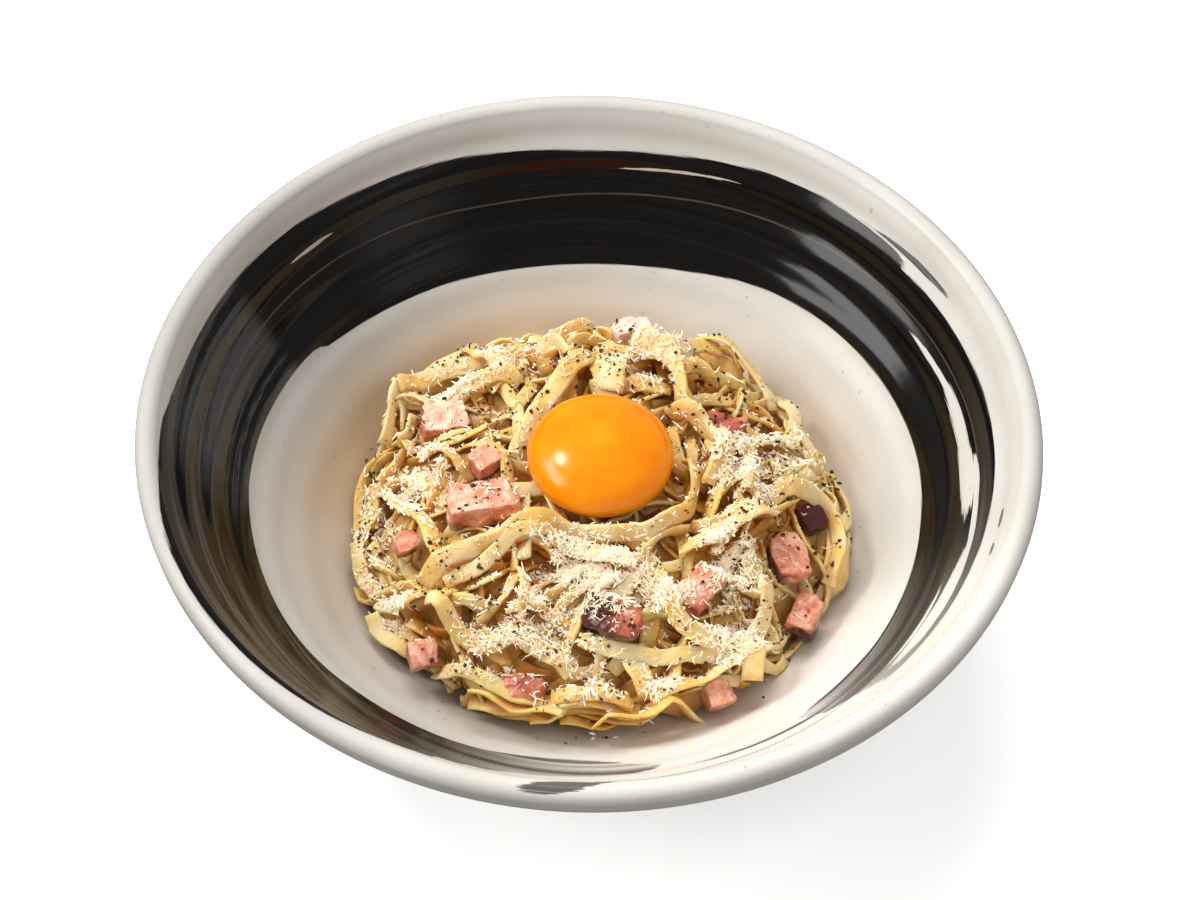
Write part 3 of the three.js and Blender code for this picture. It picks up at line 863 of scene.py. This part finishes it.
bmesh.ops.smooth_vert(sauce_mesh, verts=top_verts, factor=0.5, use_axis_z=True)
bmesh.ops.recalc_face_normals(sauce_mesh, faces=sauce_mesh.faces)
mark_heap(sauce_mesh, 1)
sauce = smooth_object("cream_sauce", sauce_mesh)
cream = creamy("cream_sauce", (0.90, 0.66, 0.32, 1), (0.82, 0.51, 0.18, 1), 0.45, 0.55, 0.28,
               0.0013)
sauce.data.materials.append(cream)
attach(sauce, "root")

# ---- Egg yolk ----
# One raw yolk, tipped out of half its shell into the nest: a slack ball in a thin wet skin, which
# sinks under its own weight and bulges low down.
yolk_mesh = bmesh.new()
bmesh.ops.create_uvsphere(yolk_mesh, u_segments=96, v_segments=48, radius=1.0)
for vert in yolk_mesh.verts:
    out = math.hypot(vert.co.x, vert.co.y)
    sag = 1 + 0.05 * vert.co.z * out
    lift = 1.0 if vert.co.z > 0 else 0.93
    uneven = 1 + 0.006 * noise.noise(vert.co * 1.7)
    vert.co = Vector((yolk_middle[0] + vert.co.x * yolk_half[0] * min(sag, 1.0) * uneven,
                      yolk_middle[1] + vert.co.y * yolk_half[1] * min(sag, 1.0) * uneven,
                      yolk_middle[2] + vert.co.z * yolk_half[2] * lift)) * MM
yolk = smooth_object("raw_yolk", yolk_mesh)

yolk_skin, tree = new_material("wet_yolk_skin")
spot = object_place(tree)
orange = spot.noise(60, 3, 0.55).ramp((0.35, (0.90, 0.24, 0.0)), (0.7, (0.97, 0.33, 0.0)))
finish_material(tree, Base_Color=orange, Roughness=0.21,
                Normal=spot.noise(160, 2).bump(0.03, 0.0004), Subsurface_Weight=0.5,
                Subsurface_Radius=(1.0, 0.4, 0.01), Subsurface_Scale=0.008,
                Specular_IOR_Level=0.4)
yolk.data.materials.append(yolk_skin)
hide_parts("egg_yolk")
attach(yolk, "root")

# ---- Bacon ----
# Smoked belly cut in thick dice and fried: layers of pink meat and paler fat, cut with a knife so
# that the faces are flat and the corners sharp, and charred where a face lay in the pan.
cured, tree = new_material("fried_bacon")
spot = object_place(tree)
browning = stored(tree, "browning")
tone = stored(tree, "tone")
layer = stored(tree, "layer")
grain = spot.noise(230, 5, 0.68)
wavy_layer = {0: layer * 0.24 + grain * 1.4, 1: grain * 0.6}
layered = layer.node("CombineXYZ", wavy_layer).noise(1.0, 3, 0.6)
flesh = tone + (grain - 0.5) * 1.3 + (layered - 0.5) * 1.1
meat = flesh.ramp((0.0, (0.90, 0.66, 0.55)), (0.25, (0.84, 0.43, 0.29)),
                  (0.5, (0.64, 0.21, 0.115)), (0.75, (0.42, 0.095, 0.06)),
                  (1.0, (0.22, 0.04, 0.025)))
fat = (layered - tone * 0.12).step(0.50, 0.58)
meat = (fat * 0.75).mix(meat, (0.94, 0.74, 0.62, 1))
char = (browning + grain * 0.9 + layered * 0.5 - 0.7).step(0.35, 0.75)
meat = char.mix(meat, (0.07, 0.014, 0.016, 1))
rough_cut = spot.noise(620, 3) * 0.5 + grain * 0.8 + layered * 0.4
finish_material(tree, Base_Color=meat, Roughness=0.30, Normal=rough_cut.bump(0.5, 0.0009),
                Subsurface_Weight=0.3, Subsurface_Radius=(1.0, 0.35, 0.25),
                Subsurface_Scale=0.002, Coat_Weight=0.3, Coat_Roughness=0.15)

# Each die by how far it is browned and the way its browned side faces, and by the tone of its
# meat on top and at its sides, from pale fat at 0 to dark lean at 1.
dice_looks = [(0.15, (1, 0.2, 0), 0.22, 0.62), (0.1, (0, 0, -1), 0.40, 0.55),
              (0.1, (0, -1, 0), 0.34, 0.50), (0.4, (0, 0, -1), 0.45, 0.60),
              (0.1, (0.5, 0, -1), 0.38, 0.60), (0.1, (0, 0.5, -1), 0.62, 0.70),
              (0.95, (-1, 0.2, 0.1), 0.76, 0.74), (0.35, (0.4, 1, 0), 0.40, 0.58),
              (0.0, (0, 0, -1), 0.36, 0.50), (0.35, (0, -1, -0.5), 0.42, 0.50),
              (0.3, (-1, -0.3, 0), 0.40, 0.48), (1.2, (1, 0, 1), 0.8, 0.9),
              (0.6, (0.3, -1, 0), 0.75, 0.88), (0.0, (0, 0, -1), 0.02, 0.15),
              (1.6, (0, 0, 1), 0.9, 1.0)]
sharp_edge = math.radians(32)
dice = []
for number, (browned, facing, top_tone, side_tone) in enumerate(dice_looks, 1):
    name = f"bacon_{number:02d}"
    die_mesh = bmesh.new()
    die_mesh.from_mesh(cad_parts[name].data)
    bmesh.ops.remove_doubles(die_mesh, verts=die_mesh.verts, dist=1e-5)
    for edge in die_mesh.edges:
        edge.smooth = edge.calc_face_angle(0) < sharp_edge
    bmesh.ops.subdivide_edges(die_mesh, edges=die_mesh.edges, cuts=6, use_grid_fill=True)
    for _ in range(2):
        bmesh.ops.smooth_vert(die_mesh, verts=die_mesh.verts, factor=0.5, use_axis_x=True,
                              use_axis_y=True, use_axis_z=True)
    die_mesh.normal_update()
    low, high = (Vector(corner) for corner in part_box(name))
    middle, size = (low + high) / 2, (high - low).length
    layers = {word: die_mesh.verts.layers.float.new(word)
              for word in ("browning", "tone", "layer")}
    offset = Vector((number * 1.7, number * 3.1, 0))
    layer_turn = number * 2.1
    across_layers = Vector((math.cos(layer_turn), math.sin(layer_turn), 0.9)).normalized()
    for vert in die_mesh.verts:
        reach = vert.co - middle
        on_top = min(max(vert.normal.z * 1.4 - 0.1, 0), 1)
        near_edge = sorted(abs(part) / (high - low)[i] * 2 for i, part in enumerate(reach))[1]
        # The browning also grows on faces that point down, towards each die's bottom and at its
        # edges.
        vert[layers["browning"]] = (browned + 1.3 * reach.dot(Vector(facing)) / size
                                    - 0.2 * vert.normal.z - 0.35 * reach.z / (high - low).z
                                    + 0.5 * max(near_edge - 0.7, 0) / 0.3)
        vert[layers["tone"]] = side_tone + (top_tone - side_tone) * on_top
        vert[layers["layer"]] = reach.dot(across_layers) / MM
        pit = noise.fractal(vert.co * 330 + offset, 1.0, 2.0, 3)
        dent = noise.noise(vert.co * 150 + offset * 2)
        vert.co = middle + reach * min(0.98 + 0.13 * pit + 0.22 * dent, 1.06)
    die = smooth_object(f"fried_{name}", die_mesh)
    die.data.materials.append(cured)
    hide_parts(name)
    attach(die, "root")
    dice.append(die)

# ---- Cheese ----
# Hard cheese rubbed over a fine grater: curled white threads that catch on each other and pile
# up in drifts, with loose ones all over the heap.
surface_verts, surface_faces = [], []
for piece in (bowl, under, pasta, sauce, yolk, *dice):
    base = len(surface_verts)
    surface_verts += [vert.co / MM for vert in piece.data.vertices]
    surface_faces += [[base + i for i in face.vertices] for face in piece.data.polygons]
surface = BVHTree.FromPolygons(surface_verts, surface_faces)

# The long strand in front of the yolk keeps little of what falls on it.
clean_strand = drawn(top_strands[-1][1])[:, :2]


def landing(x, y, kept):
    """Where something dropped here comes to lie, and the slope's normal, or None. Nothing stays
    on the yolk, and only the kept share on the dice and the clean strand."""
    if math.hypot(x - yolk_middle[0], y - yolk_middle[1]) < yolk_half[0] + 0.3:
        return None
    place, normal, _, _ = surface.ray_cast(Vector((x, y, 90)), Vector((0, 0, -1)))
    for low, high in dice_boxes:
        on_die = (low[:2] < (x, y)).all() and ((x, y) < high[:2]).all()
        on_top = on_die and place and place.z > high[2] - 0.6 * (high[2] - low[2])
        if on_top and rng.random() > kept:
            return None
    if np.hypot(*(clean_strand - (x, y)).T).min() < 3.2 and rng.random() > kept:
        return None
    return place and (np.array(place), np.array(normal))


def small_form(mesh):
    """The mesh's points and its triangles, as arrays."""
    bmesh.ops.triangulate(mesh, faces=mesh.faces)
    points = np.array([vert.co for vert in mesh.verts])
    tris = np.array([[vert.index for vert in face.verts] for face in mesh.faces])
    mesh.free()
    return points, tris


def strewn(name, forms, tris, material):
    """One piece of many small things, each with the same triangles."""
    count = len(forms[0])
    faces = np.concatenate([tris + count * number for number in range(len(forms))])
    data = bpy.data.meshes.new(name)
    data.from_pydata((np.concatenate(forms) * MM).tolist(), [], faces.tolist())
    data.materials.append(material)
    piece = bpy.data.objects.new(name, data)
    bpy.context.collection.objects.link(piece)
    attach(piece, "root")


shred_mesh = bmesh.new()
bmesh.ops.create_cone(shred_mesh, cap_ends=True, segments=3, radius1=1, radius2=1, depth=2)
long_edges = [edge for edge in shred_mesh.edges
              if abs(edge.verts[0].co.z - edge.verts[1].co.z) > 1]
bmesh.ops.subdivide_edges(shred_mesh, edges=long_edges, cuts=1)
shred_form, shred_tris = small_form(shred_mesh)
down_shred = shred_form[:, 2:]
shred_taper = 1 - 0.55 * down_shred ** 2

shares = np.array([drift[3] for drift in drifts])
shares = shares / shares.sum()
shred_tries = 10500
shreds = []
for _ in range(shred_tries):
    cx, cy, spread, _ = drifts[rng.choice(len(drifts), p=shares)]
    x, y = rng.normal((cx, cy), spread * 0.62)
    if math.hypot(x - heap_centre[0], y) > heap_radius - 3:
        continue
    landed = landing(x, y, 0.55)
    if not landed:
        continue
    place, normal = landed
    turn = rng.random() * 2 * math.pi
    way = np.array([math.cos(turn), math.sin(turn), rng.normal(0, 0.3)])
    way -= normal * way.dot(normal) * 0.75
    way /= np.linalg.norm(way)
    side = np.cross(normal, way)
    near = math.exp(-((x - cx) ** 2 + (y - cy) ** 2) / spread ** 2)
    place = place + normal * (0.1 + rng.random() * 1.8 * near * (spread < 20))
    length = rng.uniform(0.6, 1.9) + 3.2 * rng.random() ** 5
    size = rng.uniform(0.16, 0.36)
    bow = rng.normal(0, 0.38) * length
    lift = rng.normal(0.05, 0.10) * length
    sideways = shred_form[:, :1] * shred_taper * size + bow * (0.4 - down_shred ** 2)
    upward = shred_form[:, 1:2] * shred_taper * size + lift * down_shred ** 2
    shreds.append(place + way * down_shred * length / 2 + side * sideways + normal * upward)

hard_cheese, tree = new_material("hard_cheese")
tint = object_place(tree).noise(240, 2)
pale = tint.ramp((0.3, (0.95, 0.83, 0.62)), (0.7, (0.96, 0.90, 0.77)))
# Painted light: the cheese glows faintly in its own colour, to brighten the threads where they
# shade each other.
finish_material(tree, Base_Color=pale, Roughness=0.5, Emission_Color=pale, Emission_Strength=0.1)
strewn("grated_cheese", shreds, shred_tris, hard_cheese)

ball_mesh = bmesh.new()
bmesh.ops.create_icosphere(ball_mesh, subdivisions=1, radius=1.0)
ball_form, ball_tris = small_form(ball_mesh)
crumb_tries = 3600
crumbs = []
for _ in range(crumb_tries):
    cx, cy, spread, _ = drifts[rng.choice(len(drifts), p=shares)]
    x, y = rng.normal((cx, cy), spread * 0.5)
    landed = math.hypot(x - heap_centre[0], y) < heap_radius - 5 and landing(x, y, 0.4)
    if not landed:
        continue
    place, normal = landed
    form = ball_form * rng.uniform(0.5, 1.4, (len(ball_form), 1)) * rng.uniform(0.15, 0.62)
    crumbs.append(form * (1.0, 1.0, 0.7) + place + normal * (0.1 + rng.random() * (spread < 20)))
strewn("cheese_crumbs", crumbs, ball_tris, hard_cheese)

# ---- Pepper ----
# Black peppercorns cracked in a mill: dark angular chips and brown dust, thrown over the heap
# with a few on the bowl beside it.
chip_tries = 7000
chips = []
for _ in range(chip_tries):
    turn = rng.random() * 2 * math.pi
    out = (heap_reach(turn) - 2) * rng.random() ** 0.5 + 6 * rng.random() ** 16
    x, y = heap_centre[0] + out * math.cos(turn), out * math.sin(turn)
    thick = (noise.noise(Vector((x * 0.09, y * 0.09, 4.0)))
             + 0.5 * noise.noise(Vector((x * 0.3, y * 0.3, 9.0))))
    if rng.random() > 0.36 + 1.5 * thick:
        continue
    landed = landing(x, y, 0.6)
    if not landed:
        continue
    place, normal = landed
    size = 0.17 + 0.5 * rng.random() ** 2.2
    lift = 0.4 * size + 1.1 * min(dusting(x, y), 1) * rng.random()
    form = ball_form * rng.uniform(0.55, 1.3, (len(ball_form), 1))
    form = form * size * rng.uniform(0.55, 1.3, 3)
    chips.append(form + place + normal * lift)

peppercorn, tree = new_material("black_peppercorn")
tint = object_place(tree).noise(420, 2)
dark = tint.ramp((0.38, (0.018, 0.012, 0.008)), (0.55, (0.07, 0.04, 0.015)),
                 (0.72, (0.28, 0.17, 0.06)))
finish_material(tree, Base_Color=dark, Roughness=0.6)
strewn("cracked_pepper", chips, ball_tris, peppercorn)
